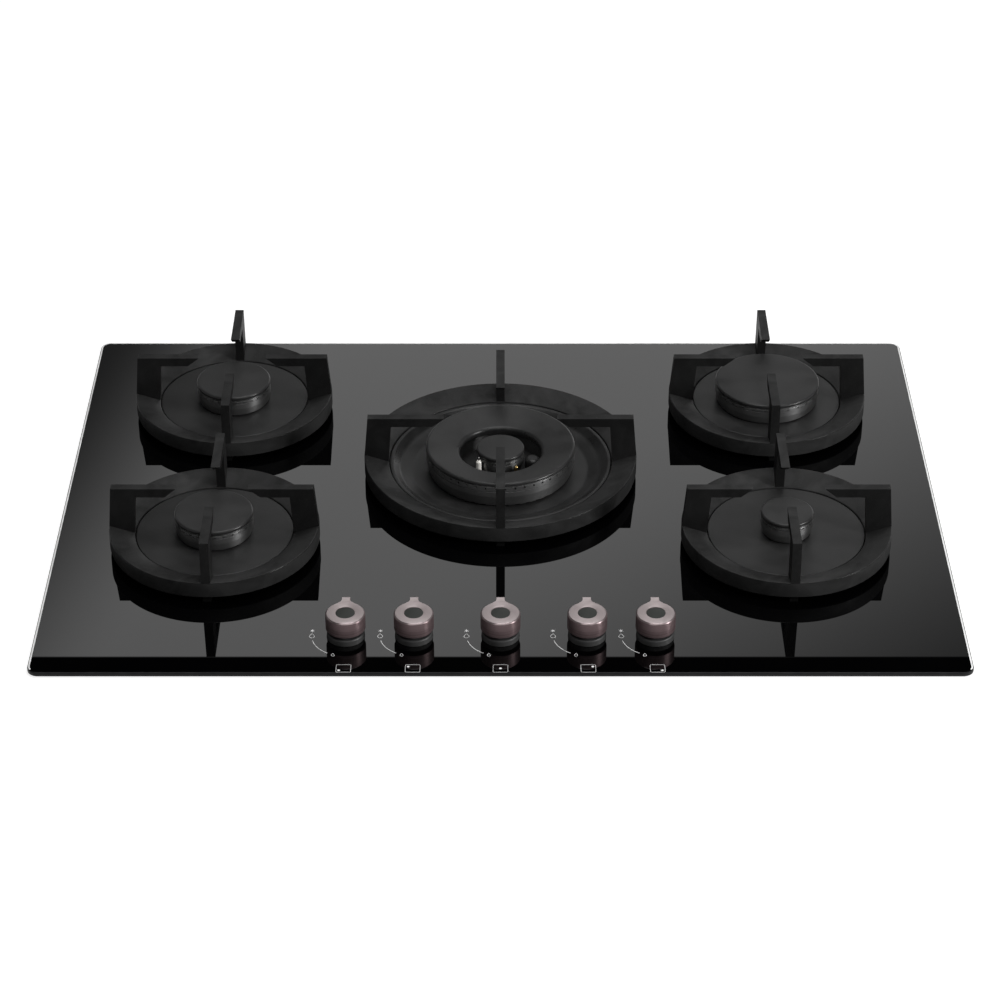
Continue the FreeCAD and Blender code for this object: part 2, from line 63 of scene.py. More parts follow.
class Tree:
    # one node tree, with a short call for each kind of node used here
    def __init__(self, tree):
        self.tree = tree
        tree.nodes.clear()

    def add(self, kind, inputs=(), **settings):
        node = self.tree.nodes.new(kind)
        for name, value in settings.items():
            setattr(node, name, value)
        for key, value in dict(inputs).items():
            if isinstance(value, bpy.types.NodeSocket):
                self.tree.links.new(value, node.inputs[key])
            else:
                node.inputs[key].default_value = value
        return node

    def math(self, operation, a, b=0.5):
        return self.add("ShaderNodeMath", {0: a, 1: b}, operation=operation).outputs[0]

    def eased(self, value, low, high, start=0.0, end=1.0):
        inputs = {"Value": value, "From Min": low, "From Max": high, "To Min": start, "To Max": end}
        return self.add("ShaderNodeMapRange", inputs, interpolation_type="SMOOTHSTEP").outputs[0]

    def spread(self, value, start, end, low=0.3, high=0.7):
        inputs = {"Value": value, "From Min": low, "From Max": high, "To Min": start, "To Max": end}
        return self.add("ShaderNodeMapRange", inputs).outputs[0]

    def place(self):
        return self.add("ShaderNodeTexCoord").outputs["Object"]

    def noise(self, place, size, detail, warp=0.0):
        # size is the width of one blotch in millimetres
        inputs = {"Vector": place, "Scale": 1 / (size * mm), "Detail": detail, "Distortion": warp}
        return self.add("ShaderNodeTexNoise", inputs).outputs["Fac"]

    def blend(self, share, a, b):
        node = self.add("ShaderNodeMix", {"Factor": share}, data_type="RGBA")
        node.inputs[6].default_value = (*a, 1)
        node.inputs[7].default_value = (*b, 1)
        return node.outputs[2]

    def bump(self, height, depth, under=None):
        # depth is the height of the relief in millimetres
        node = self.add("ShaderNodeBump", {"Height": height, "Distance": depth * mm, "Strength": 1.0})
        if under:
            self.tree.links.new(under, node.inputs["Normal"])
        return node.outputs[0]

    def facingUp(self, low, high):
        # one on a flat top, and zero on what slopes away from it
        normal = self.add("ShaderNodeNewGeometry").outputs["Normal"]
        return self.eased(self.add("ShaderNodeSeparateXYZ", {0: normal}).outputs[2], low, high)

    def turnedPlace(self):
        # distance from the piece's own upright axis, and height: fine rings follow it on turned metal
        x, y, z = self.add("ShaderNodeSeparateXYZ", {0: self.place()}).outputs
        squares = [self.math("MULTIPLY", side, side) for side in (x, y)]
        radius = self.math("SQRT", self.math("ADD", *squares))
        return self.add("ShaderNodeCombineXYZ", {0: radius, 1: 0.0, 2: z}).outputs[0]

    def surface(self, inputs):
        shader = self.add("ShaderNodeBsdfPrincipled", inputs)
        self.add("ShaderNodeOutputMaterial", {0: shader.outputs[0]})


def newMaterial(name):
    material = bpy.data.materials.new(name)
    material.use_nodes = True
    return material, Tree(material.node_tree)


camera = {
    "place": (-0.4, -2071.5, 1351.9),  # millimetres
    "pitch": 33.17,  # degrees below the horizon
    "lens": 102.75,  # for a sensor 36 wide
}


def addCamera():
    data = bpy.data.cameras.new("camera")
    data.lens = camera["lens"]
    data.sensor_width = 36
    data.clip_start = 0.05
    data.clip_end = 50
    eye = bpy.data.objects.new("camera", data)
    eye.location = Vector(camera["place"]) * mm
    eye.rotation_euler = (math.radians(90 - camera["pitch"]), 0, 0)
    bpy.context.scene.collection.objects.link(eye)
    bpy.context.scene.camera = eye


studio = {
    "fill": 0.13,  # what matt surfaces get from all round
    "wallTop": 0.7354,  # where the white walls end: their height over their distance
    "wallEdge": 0.001,
    "wallShine": 1.26,
    # where the back wall dims: a slope, the stretch of wall that it dims over, and the light there
    "lowerLeft": {"slope": 0.65, "between": (0.215, 0.31), "light": (0.1, 1.0)},
    "upperRight": {"slope": 1.15, "between": (0.76, 1.12), "light": (1.0, 0.12)},
    "wallEnds": {"between": (0.5, 0.98), "light": (1.0, 0.0)},
    "otherWalls": 0.12,
    "ceiling": 0.003,
    # the lamps' and the floor's sizes are in metres, and the cut-out's in millimetres
    "lamps": {
        "topSoftbox": {"way": (0.05, 0.12, 1.0), "distance": 2.4, "size": (1.6, 1.6), "power": 33},
        "rightSoftbox": {"way": (0.85, -0.37, 0.38), "distance": 2.2, "size": (0.45, 0.45), "power": 30},
        "frontSoftbox": {"way": (0.1, -0.55, 0.82), "distance": 2.2, "size": (2.2, 0.35), "power": 10},
    },
    "floorSize": 8.0,
    "floorColour": (0.4, 0.4, 0.4),
    "floorGlow": (0.75, 1.0),  # near the object, and far from it
    "floorFade": (0.8, 2.2),  # distances in metres that the glow rises between
    "cutOut": (560, 480),
}


def addWorld():
    world = bpy.data.worlds.new("studio")
    bpy.context.scene.world = world
    world.use_nodes = True
    t = Tree(world.node_tree)
    x, y, z = t.add("ShaderNodeSeparateXYZ", {0: t.add("ShaderNodeTexCoord").outputs["Generated"]}).outputs
    wall = t.math("MAXIMUM", t.math("ABSOLUTE", x), t.math("ABSOLUTE", y))
    rise = t.math("DIVIDE", z, wall)
    side = t.math("DIVIDE", x, wall)
    lit = t.eased(rise, studio["wallTop"] - studio["wallEdge"], studio["wallTop"], 1.0, 0.0)
    corners = []
    for dim in (studio["lowerLeft"], studio["upperRight"]):
        across = t.math("ADD", side, t.math("MULTIPLY", rise, dim["slope"]))
        corners.append(t.eased(across, *dim["between"], *dim["light"]))
    ends = studio["wallEnds"]
    back = t.math("GREATER_THAN", t.math("DIVIDE", y, wall), 0.999)
    back = t.math("MULTIPLY", back, t.eased(t.math("ABSOLUTE", side), *ends["between"], *ends["light"]))
    share = t.math("MULTIPLY", t.math("MULTIPLY", *corners), back)
    rest = t.math("MULTIPLY", t.math("SUBTRACT", 1.0, back), studio["otherWalls"])
    share = t.math("ADD", share, rest)
    card = t.math("MULTIPLY", share, studio["wallShine"])
    shine = t.math("ADD", t.math("MULTIPLY", card, lit), studio["ceiling"])
    path = t.add("ShaderNodeLightPath").outputs
    white = t.add("ShaderNodeBackground", {0: (1, 1, 1, 1), 1: 1.0}).outputs[0]
    mirrored = t.add("ShaderNodeBackground", {0: (1, 1, 1, 1), 1: shine}).outputs[0]
    fill = t.add("ShaderNodeBackground", {0: (1, 1, 1, 1), 1: studio["fill"]}).outputs[0]
    lightOn = t.add("ShaderNodeMixShader", {0: path["Is Glossy Ray"], 1: fill, 2: mirrored}).outputs[0]
    seen = t.math("MAXIMUM", path["Is Camera Ray"], path["Is Transmission Ray"])
    mixed = t.add("ShaderNodeMixShader", {0: seen, 1: lightOn, 2: white}).outputs[0]
    t.add("ShaderNodeOutputWorld", {0: mixed})


def addLamps():
    for name, lamp in studio["lamps"].items():
        data = bpy.data.lights.new(name, "AREA")
        data.shape = "RECTANGLE"
        data.size, data.size_y = lamp["size"]
        data.energy = lamp["power"]
        box = bpy.data.objects.new(name, data)
        way = Vector(lamp["way"]).normalized()
        box.location = way * lamp["distance"]
        box.rotation_euler = way.to_track_quat("Z", "Y").to_euler()
        bpy.context.scene.collection.objects.link(box)


def addFloor():
    # the worktop's plane, with the cut-out that the burner box hangs in
    half = studio["floorSize"] / 2
    inner = [side * mm / 2 for side in studio["cutOut"]]
    bm = bmesh.new()
    outside = [bm.verts.new((half * x, half * y, 0)) for x, y in fourCorners]
    inside = [bm.verts.new((inner[0] * x, inner[1] * y, 0)) for x, y in fourCorners]
    for i in range(4):
        j = (i + 1) % 4
        bm.faces.new((outside[i], outside[j], inside[j], inside[i]))
    mesh = bpy.data.meshes.new("floor")
    bm.to_mesh(mesh)
    bm.free()
    floor = bpy.data.objects.new("floor", mesh)
    bpy.context.scene.collection.objects.link(floor)
    material, t = newMaterial("paleFloor")
    matt = t.add("ShaderNodeBsdfDiffuse", {0: (*studio["floorColour"], 1)}).outputs[0]
    away = t.add("ShaderNodeVectorMath", {0: t.place()}, operation="LENGTH").outputs["Value"]
    level = t.eased(away, *studio["floorFade"], *studio["floorGlow"])
    glow = t.add("ShaderNodeEmission", {0: (1, 1, 1, 1), 1: level}).outputs[0]
    both = t.add("ShaderNodeAddShader", {0: matt, 1: glow}).outputs[0]
    path = t.add("ShaderNodeLightPath").outputs
    through = t.math("MAXIMUM", path["Is Glossy Ray"], path["Is Transmission Ray"])
    seen = t.math("MAXIMUM", path["Is Camera Ray"], through)
    whole = t.add("ShaderNodeMixShader", {0: seen, 1: matt, 2: both}).outputs[0]
    t.add("ShaderNodeOutputMaterial", {0: whole})
    mesh.materials.append(material)


addCamera()
addWorld()
addLamps()
addFloor()
print("camera, light and floor ready")


def castIron(name, low, high):
    # matt enamelled casting: fine sand grain, cloudy wear, light specks, and edges rubbed smooth
    material, t = newMaterial(name)
    place = t.place()
    cloud = t.noise(place, 30, 7, 1.2)
    specks = t.spread(t.noise(place, 1.5, 2), 0.0, 0.9, 0.64, 0.74)
    share = t.math("MAXIMUM", t.spread(cloud, 0.1, 0.7, 0.34, 0.68), specks)
    grain = t.noise(place, 0.8, 3)
    edge = t.math("SUBTRACT", t.facingUp(0.15, 0.4), t.facingUp(0.8, 0.92))
    matt = t.spread(share, 0.62, 0.44, 0, 1)
    t.surface({
        "Base Color": t.blend(share, low, high),
        "Roughness": t.math("SUBTRACT", matt, t.math("MULTIPLY", edge, 0.3)),
        "Specular IOR Level": 0.11,
        "Normal": t.bump(grain, 0.03, t.bump(t.noise(place, 5, 2), 0.04)),
    })
    return material


def satinBlack(name, low, high, roughness, rings=0.012, brushed=0.0, metal=0.0, gloss=0.5, smoother=0.0):
    # turned and enamelled: faint rings round the piece's axis, and smoother where an edge slopes away
    material, t = newMaterial(name)
    place = t.place()
    patch = t.noise(place, 14, 4)
    lathe = t.noise(t.turnedPlace(), 0.4, 3)
    edge = t.math("SUBTRACT", 1.0, t.facingUp(0.84, 0.96))
    t.surface({
        "Base Color": t.blend(t.spread(patch, 0, 1), low, high),
        "Metallic": metal,
        "Specular IOR Level": gloss,
        "Roughness": t.math("SUBTRACT", t.spread(patch, *roughness), t.math("MULTIPLY", edge, smoother)),
        "Anisotropic": brushed,
        "Anisotropic Rotation": 0.25,
        "Tangent": t.add("ShaderNodeTangent", direction_type="RADIAL", axis="Z").outputs[0],
        "Normal": t.bump(t.noise(place, 0.5, 2), 0.006, t.bump(lathe, rings)),
    })
    return material


def blackGlass():
    # polished, with a trace of haze that only shows close up
    material, t = newMaterial("blackGlass")
    place = t.place()
    haze = t.noise(place, 60, 3)
    t.surface({
        "Base Color": t.blend(haze, (0.0003, 0.0003, 0.0004), (0.0008, 0.0008, 0.0009)),
        "Roughness": t.spread(haze, 0.0, 0.006),
        "IOR": 1.52,
        "Normal": t.bump(t.noise(place, 120, 1), 0.0008),
    })
    return material


def knobMetal():
    # brushed on a lathe, with a warm dark tint, and the top painted lighter than the side: painted light from
    # above
    material, t = newMaterial("knobMetal")
    rings = t.noise(t.turnedPlace(), 0.3, 4)
    tint = t.spread(t.noise(t.turnedPlace(), 0.9, 3), 0, 1)
    side = t.blend(tint, (0.15, 0.103, 0.107), (0.25, 0.185, 0.19))
    # painted light: faces that look upward get a lighter colour than the side
    roof = t.blend(tint, (0.4, 0.345, 0.345), (0.48, 0.42, 0.42))
    both = t.add("ShaderNodeMix", {0: t.facingUp(0.5, 0.95), 6: side, 7: roof}, data_type="RGBA").outputs[2]
    chamfer = t.math("SUBTRACT", t.facingUp(0.3, 0.6), t.facingUp(0.86, 0.98))
    t.surface({
        "Base Color": both,
        "Metallic": 0.8,
        "Roughness": t.math("SUBTRACT", t.spread(rings, 0.44, 0.56), t.math("MULTIPLY", chamfer, 0.2)),
        "Anisotropic": 0.4,
        "Anisotropic Rotation": 0.25,
        "Tangent": t.add("ShaderNodeTangent", direction_type="RADIAL", axis="Z").outputs[0],
        "Normal": t.bump(rings, 0.03),
    })
    return material


def sheetMetal():
    # zinc plate: a faint spangle, and a fine grain
    material, t = newMaterial("platedSheet")
    place = t.place()
    spangle = t.add("ShaderNodeTexVoronoi", {"Vector": place, "Scale": 160.0}).outputs["Color"]
    level = t.add("ShaderNodeSeparateColor", {0: spangle}).outputs[0]
    t.surface({
        "Base Color": t.blend(level, (0.42, 0.43, 0.44), (0.5, 0.51, 0.52)),
        "Metallic": 0.9,
        "Roughness": t.spread(level, 0.34, 0.46, 0, 1),
        "Normal": t.bump(t.noise(place, 2.5, 2), 0.01),
    })
    return material


def plainMetal(name, low, high, roughness):
    # bare metal, dulled in patches by handling
    material, t = newMaterial(name)
    place = t.place()
    patch = t.noise(place, 6, 3)
    t.surface({
        "Base Color": t.blend(t.spread(patch, 0, 1), low, high),
        "Metallic": 1.0,
        "Roughness": t.spread(patch, roughness - 0.06, roughness + 0.06),
        "Normal": t.bump(t.noise(place, 0.8, 3), 0.015),
    })
    return material


def moulded(name, low, high, roughness, gloss=0.5):
    # plastic, rubber, ceramic, print, the cut sides of the glass, and the highlight painted on its arris
    material, t = newMaterial(name)
    place = t.place()
    patch = t.noise(place, 9, 2)
    t.surface({
        "Base Color": t.blend(t.spread(patch, 0, 1), low, high),
        "Roughness": t.spread(patch, roughness - 0.05, roughness + 0.05),
        "Specular IOR Level": gloss,
        "Normal": t.bump(t.noise(place, 0.6, 2), 0.01),
    })
    return material


finish = {
    "castIron": castIron("castIron", (0.012,) * 3, (0.039,) * 3),
    # painted shade: a darker copy of the cast iron for the upright faces of the legs and arms
    "shadedIronFlank": castIron("shadedIronFlank", (0.007,) * 3, (0.022,) * 3),
    "capBlack": satinBlack("capBlack", (0.016,) * 3, (0.025,) * 3, (0.5, 0.58), 0.008, 0.2,
                           gloss=0.3, smoother=0.24),
    "crownBlack": satinBlack("crownBlack", (0.18,) * 3, (0.21,) * 3, (0.36, 0.4), 0.012, 0.8, 0.9),
    "dishBlack": satinBlack("dishBlack", (0.012,) * 3, (0.019,) * 3, (0.42, 0.54), 0.006,
                            gloss=0.3, smoother=0.18),
    "blackGlass": blackGlass(),
    "cutEdge": moulded("cutEdge", (0.009, 0.009, 0.01), (0.016, 0.016, 0.017), 0.4, gloss=0.12),
    # a painted highlight: the pale line along the glass's arris
    "paintedArrisHighlight": moulded("paintedArrisHighlight", (0.7, 0.7, 0.7), (0.82, 0.82, 0.82), 0.6),
    "knobMetal": knobMetal(),
    "knobInsert": satinBlack("knobInsert", (0.018, 0.02, 0.018), (0.025, 0.027, 0.024), (0.4, 0.5),
                             gloss=0.3),
    "collarGrey": satinBlack("collarGrey", (0.034,) * 3, (0.046,) * 3, (0.44, 0.54)),
    "platedSheet": sheetMetal(),
    "castAlloy": plainMetal("castAlloy", (0.42, 0.42, 0.42), (0.55, 0.55, 0.55), 0.5),
    "bareSteel": plainMetal("bareSteel", (0.38, 0.37, 0.36), (0.5, 0.49, 0.48), 0.34),
    "brass": plainMetal("brass", (0.6, 0.42, 0.16), (0.72, 0.53, 0.24), 0.28),
    "sealRubber": moulded("sealRubber", (0.012, 0.012, 0.012), (0.02, 0.02, 0.02), 0.8),
    "footRubber": moulded("footRubber", (0.003, 0.003, 0.003), (0.006, 0.006, 0.006), 0.9, gloss=0.05),
    "darkPlastic": moulded("darkPlastic", (0.016, 0.016, 0.016), (0.024, 0.024, 0.024), 0.5),
    "palePlastic": moulded("palePlastic", (0.62, 0.61, 0.56), (0.7, 0.69, 0.64), 0.45),
    "whiteCeramic": moulded("whiteCeramic", (0.72, 0.7, 0.64), (0.82, 0.8, 0.76), 0.22),
    "printedWhite": moulded("printedWhite", (0.74, 0.74, 0.74), (0.82, 0.82, 0.82), 0.5),
}
print("finishes ready:", len(finish))


def rounded(corners, steps):
    # a line through (a, b, radius) corners, with an arc of that radius at each
    line = []
    for i, (a, b, *size) in enumerate(corners):
        radius = size[0] if size else 0
        if not radius or i in (0, len(corners) - 1):
            line.append((a, b))
            continue
        here = Vector((a, b))
        back = (Vector(corners[i - 1][:2]) - here).normalized()
        on = (Vector(corners[i + 1][:2]) - here).normalized()
        half = back.angle(on) / 2
        middle = here + (back + on).normalized() * radius / math.sin(half)
        start = here + back * radius / math.tan(half) - middle
        end = here + on * radius / math.tan(half) - middle
        for step in range(steps + 1):
            share = step / steps
            line.append(middle + (start * (1 - share) + end * share).normalized() * radius)
    return [(point[0], point[1]) for point in line]


def roundedLoop(corners, steps=4):
    # the same for a closed outline: it starts in the middle of its first side
    first, second = Vector(corners[0][:2]), Vector(corners[1][:2])
    start = tuple((first + second) / 2)
    ends = [start, *corners[1:], corners[0], start]
    return rounded(ends, steps)[:-1]


def roundedBox(halfWidth, halfDepth, radius, steps=4):
    return roundedLoop([(halfWidth * x, halfDepth * y, radius) for x, y in fourCorners], steps)


def turned(line, sides, closed=True):
    # a lathe shape from (radius, height) points
    bm = bmesh.new()
    rings = []
    for radius, height in line:
        if radius < 0.001:
            rings.append([bm.verts.new((0, 0, height))] * sides)
            continue
        turns = [2 * math.pi * i / sides for i in range(sides)]
        rings.append([bm.verts.new((radius * math.cos(a), radius * math.sin(a), height)) for a in turns])
    pairs = list(zip(rings, rings[1:]))
    if closed:
        pairs.append((rings[-1], rings[0]))
    for low, high in pairs:
        for i in range(sides):
            j = (i + 1) % sides
            corners = dict.fromkeys((low[i], low[j], high[j], high[i]))
            if len(corners) > 2:
                bm.faces.new(list(corners))
    return bm


def stacked(loops):
    # a closed solid through outlines of as many points each, from the lowest to the highest
    bm = bmesh.new()
    rows = [[bm.verts.new(point) for point in loop] for loop in loops]
    bm.faces.new(rows[0][::-1])
    bm.faces.new(rows[-1])
    for low, high in zip(rows, rows[1:]):
        for i in range(len(low)):
            j = (i + 1) % len(low)
            bm.faces.new((low[i], low[j], high[j], high[i]))
    return bm


def slab(outline, low, high):
    return stacked([[(x, y, z) for x, y in outline] for z in (low, high)])


def stroke(points, width, low, high, closed=False):
    # a flat line of even width through (x, y) points
    bm = bmesh.new()
    rails = []
    last = len(points) - 1
    for i, point in enumerate(points):
        here = Vector(point)
        before = Vector(points[i - 1]) if closed or i else here
        after = Vector(points[(i + 1) % len(points)]) if closed or i < last else here
        way = (after - before).normalized() * width / 2
        corners = (here + Vector((-way.y, way.x)), here - Vector((-way.y, way.x)))
        rails.append([bm.verts.new((corner.x, corner.y, z)) for corner in corners for z in (low, high)])
    pairs = list(zip(rails, rails[1:]))
    if closed:
        pairs.append((rails[-1], rails[0]))
    for a, b in pairs:
        for i, j in ((0, 1), (1, 3), (3, 2), (2, 0)):
            bm.faces.new((a[i], a[j], b[j], b[i]))
    if not closed:
        for end in (rails[0], rails[-1]):
            bm.faces.new((end[0], end[1], end[3], end[2]))
    return bm


def softened(bm, width, sharper=30):
    # a small round on every edge that turns by more than the angle
    edges = [e for e in bm.edges if len(e.link_faces) == 2 and e.calc_face_angle(0) > math.radians(sharper)]
    bmesh.ops.bevel(bm, geom=edges, offset=width, segments=2, profile=0.5, affect="EDGES",
                    clamp_overlap=True)
    return bm


def moved(bm, place=(0, 0, 0), turn=0.0, tilt=None):
    if tilt:
        bm.transform(tilt)
    bm.transform(Matrix.Translation(place) @ Matrix.Rotation(math.radians(turn), 4, "Z"))
    return bm


def toMesh(bm, name="part"):
    bmesh.ops.recalc_face_normals(bm, faces=bm.faces)
    mesh = bpy.data.meshes.new(name)
    bm.to_mesh(mesh)
    bm.free()
    return mesh


def joined(*parts):
    whole = bmesh.new()
    for part in parts:
        mesh = toMesh(part)
        whole.from_mesh(mesh)
        bpy.data.meshes.remove(mesh)
    return whole


def combined(body, tool, operation):
    # joins or cuts two closed meshes
    made = []
    for bm in (body, tool):
        thing = bpy.data.objects.new("working", toMesh(bm))
        bpy.context.scene.collection.objects.link(thing)
        made.append(thing)
    change = made[0].modifiers.new("boolean", "BOOLEAN")
    change.object = made[1]
    change.operation = operation
    change.solver = "EXACT"
    change.use_self = operation == "DIFFERENCE"
    graph = bpy.context.evaluated_depsgraph_get()
    mesh = bpy.data.meshes.new_from_object(made[0].evaluated_get(graph))
    result = bmesh.new()
    result.from_mesh(mesh)
    bmesh.ops.remove_doubles(result, verts=result.verts, dist=0.0005)
    bpy.data.meshes.remove(mesh)
    for thing in made:
        old = thing.data
        bpy.data.objects.remove(thing)
        bpy.data.meshes.remove(old)
    return result


def addPiece(name, bm, body, look, at=(0, 0), stands=(), sharper=35):
    mesh = toMesh(bm, name)
    mesh.transform(Matrix.Scale(mm, 4))
    mesh.polygons.foreach_set("use_smooth", [True] * len(mesh.polygons))
    mesh.set_sharp_from_angle(angle=math.radians(sharper))
    mesh.materials.append(finish[look])
    piece = bpy.data.objects.new(name, mesh)
    piece.location = (at[0] * mm, at[1] * mm, 0)
    bpy.context.scene.collection.objects.link(piece)
    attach(piece, body)
    if stands:
        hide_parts(*stands)
    return piece


def standIn(name, node):
    # of five pieces, the middle burner's takes the place of the node that holds all five
    return [node] if name == "centre" else []


places = {name: middleOf("pan_support_" + name) for name in burners}
# radii that several pieces share: the outside of each burner's cup, and of the knobs
cups = {"front_left": 20, "rear_left": 20, "rear_right": 24, "front_right": 14, "centre": 48}
knobRadius = 16.0

glass = {
    "corner": 9.0,
    "edge": ((0.5, 0.0), (0.0, 0.5), (0.0, 3.1), (0.25, 3.65), (0.75, 3.92), (2.05, 4.0)),  # inset, height
    "highlightLine": (0.8, 2.0),  # insets that the painted highlight line lies between
    "cupGap": 1.5,
    "spindleHole": 5.0,
}


def insetOf(x, y, half):
    # how far in from the glass's outline a point lies
    beyondX = abs(x) - half.x + glass["corner"]
    beyondY = abs(y) - half.y + glass["corner"]
    out = math.hypot(max(beyondX, 0), max(beyondY, 0)) + min(max(beyondX, beyondY), 0)
    return glass["corner"] - out


def addGlass():
    low, high = boxOf("glass_top")
    half = (high - low) / 2
    loops = []
    for inset, rise in glass["edge"]:
        outline = roundedBox(half.x - inset, half.y - inset, glass["corner"] - inset, 14)
        loops.append([(x, y, low.z + rise) for x, y in outline])
    holes = []
    for name in burners:
        knobLow = boxOf("knob_" + name)[0]
        knobAt = (knobLow.x + knobRadius, knobLow.y + knobRadius, 0)
        spots = ((cups[name] + glass["cupGap"], places[name], 96), (glass["spindleHole"], knobAt, 48))
        for radius, (x, y, _), sides in spots:
            line = [(0, low.z - 1), (radius, low.z - 1), (radius, high.z + 1), (0, high.z + 1)]
            holes.append(moved(turned(line, sides, closed=False), (x, y, 0)))
    body = combined(stacked(loops), joined(*holes), "DIFFERENCE")
    panel = addPiece("glass_panel", body, "root", "blackGlass", stands=["glass_top"],
                     sharper=1)
    # the sides are cut dark, and a pale line is painted on the arris of every edge but the front: a painted
    # highlight
    panel.data.materials.append(finish["paintedArrisHighlight"])
    panel.data.materials.append(finish["cutEdge"])
    start, end = glass["highlightLine"]
    for face in panel.data.polygons:
        x, y, z = face.center / mm
        if start < insetOf(x, y, half) < end and z > high.z - 0.1 and y > -half.y + glass["corner"] / 2:
            face.material_index = 1
        elif insetOf(x, y, half) < start:
            face.material_index = 2


addGlass()
print("glass cut and drilled")


support = {
    "ringWidth": 21.5,
    "rimHeight": 14.5,  # from the ring's underside to its outer rim
    "fall": 7.2,  # from the outer rim to the inner one
    "bar": 7.5,
    "barDepth": 8.1,
    "legWidth": 20.2,
    "legDraft": 2.8,
    "outerDraft": 3.4,
    "footDraft": 1.6,
    "armInset": 0.15,  # from the ring's outside to an arm's corners
    "tipSlant": 10.0,
    "tips": {"pan_support_centre": 49.0},  # radius where an arm ends; the others end at smallTip
    "smallTip": 30.0,
    "softEdge": 0.4,
    "rootHeight": 3.0,  # where the legs start, inside the ring
    "upright": 0.6,  # a face whose normal rises less than this counts as upright
}


def supportRing(outer, low):
    inner = outer - support["ringWidth"]
    rim = low + support["rimHeight"]
    corners = [(inner, low, 0.8), (outer, low, 1.0), (outer, rim, 0.8), (inner, rim - support["fall"], 0.9)]
    return turned(roundedLoop(corners), 192)


def supportArm(outer, tip, low, top):
    rim = low + support["rimHeight"]
    foot = math.sqrt(outer**2 - (support["bar"] / 2) ** 2) - support["armInset"]
    under = top - support["barDepth"]
    leg = outer - support["outerDraft"] - support["legWidth"]
    root = low + support["rootHeight"]
    side = [(foot - support["footDraft"], root), (foot, rim - 0.4), (outer - support["outerDraft"], top)]
    side += [(tip, top), (tip + support["tipSlant"], under), (leg, under), (leg + support["legDraft"], root)]
    bm = slab(side, -support["bar"] / 2, support["bar"] / 2)
    bm.transform(Matrix.Rotation(math.radians(90), 4, "X"))
    return softened(bm, support["softEdge"])


def addSupport(node):
    low, high = boxOf(node)
    x, y, _ = middleOf(node)
    outer = (high.x - low.x) / 2
    tip = support["tips"].get(node, support["smallTip"])
    whole = supportRing(outer, low.z)
    arms = [moved(supportArm(outer, tip, low.z, high.z), turn=90 * i) for i in range(4)]
    whole = combined(whole, joined(*arms), "UNION")
    piece = addPiece(node + "_casting", whole, node, "castIron", (x, y), [node])
    # the upright faces of the legs and arms are painted darker than the tops: painted shade, as they face
    # away from the top light
    piece.data.materials.append(finish["shadedIronFlank"])
    rim = low.z + support["rimHeight"] - 1
    for face in piece.data.polygons:
        if face.center.z / mm > rim and abs(face.normal.z) < support["upright"]:
            face.material_index = 1


for name in burners:
    addSupport("pan_support_" + name)
print("pan supports cast")


dish = {
    "gap": 0.5,
    "clearance": 0.3,
    "rimRound": 0.9,
    "floorHeight": 4.0,
    "slope": ((3, 0, 2.5), (9, 4.7, 10), (13, 5.9, 10)),  # inset, drop and round down the middle dish
    "floorInset": 20.0,
}


def dishLine(name, edge, top):
    hole = cups[name] + dish["clearance"]
    low = glassTop
    line = [(hole, low), (edge - 1.2, low, 0.5), (edge, low + 1.4, 0.5), (edge, top, dish["rimRound"])]
    if name == "centre":
        # a flat rim, then one slope with a soft ripple, down to the floor
        floor = low + dish["floorHeight"]
        line += [(edge - inset, top - drop, size) for inset, drop, size in dish["slope"]]
        line += [(edge - dish["floorInset"], floor, 10), (hole, floor)]
    else:
        line += [(hole + 4, top, 3), (hole, top - 0.6)]
    return rounded(line, 6)


dishTop = boxOf("spill_dishes")[1].z
for name in burners:
    low, high = boxOf("pan_support_" + name)
    edge = (high.x - low.x) / 2 - support["ringWidth"] - dish["gap"]
    body = turned(dishLine(name, edge, dishTop), 160)
    addPiece("spill_dish_" + name, body, "root", "dishBlack", places[name][:2],
             standIn(name, "spill_dishes"))
print("spill dishes turned")


single = {
    "capRadius": {"front_left": 33, "rear_left": 33, "rear_right": 46.5, "front_right": 22},
    "capThickness": 4.0,
    "capRound": 1.7,
    "skirtGap": 0.7,  # between the crown's skirt and the dish
    "taper": 1.5,
    "seamDrop": 3.4,
    "portCount": 28,
    "portSize": (2.9, 0.95),
    "portDrop": 2.0,  # from the crown's top to the middle of its ports
    "wall": 6.0,
}
capTop = boxOf("burner_caps")[1].z


def capLine(radius, top):
    low = top - single["capThickness"]
    foot = [(0, low), (radius - 1.0, low, 0.3), (radius, low + 1.0, 0.6)]
    return rounded(foot + [(radius, top, single["capRound"]), (0, top)], 6)


def skirtSide(side, taper, skirt, seam, top):
    # from the foot of a crown up: skirt, a fine seam, the band with the ports, and a groove under the cap
    foot = side - taper
    return [(foot - 0.8, skirt), (foot, skirt + 0.9, 0.5), (side, seam - 5, 6), (side, seam - 0.25),
            (side - 0.5, seam), (side, seam + 0.25), (side, top - 0.75, 0.2), (side - 0.9, top - 0.45),
            (side - 0.9, top)]


def crownLine(radius, cup, seat, skirt, top, taper):
    bore = cup - single["wall"]
    start = [(bore, seat), (cup, seat), (cup, skirt + 1.2)]
    side = skirtSide(radius - 0.35, taper, skirt, top - single["seamDrop"], top)
    return rounded(start + side + [(bore, top)], 4)


def drills(radius, height, count, width):
    # one row of round drills that point at the axis
    deep = 4.0
    sides = 12
    tools = []
    for i in range(count):
        turn = 360 * (i + 0.5) / count
        drill = turned([(0, -deep), (width / 2, -deep), (width / 2, deep), (0, deep)], sides, closed=False)
        drill = moved(drill, tilt=Matrix.Rotation(math.radians(90), 4, "Y"))
        tools.append(moved(moved(drill, (radius, 0, height)), turn=turn))
    return joined(*tools)


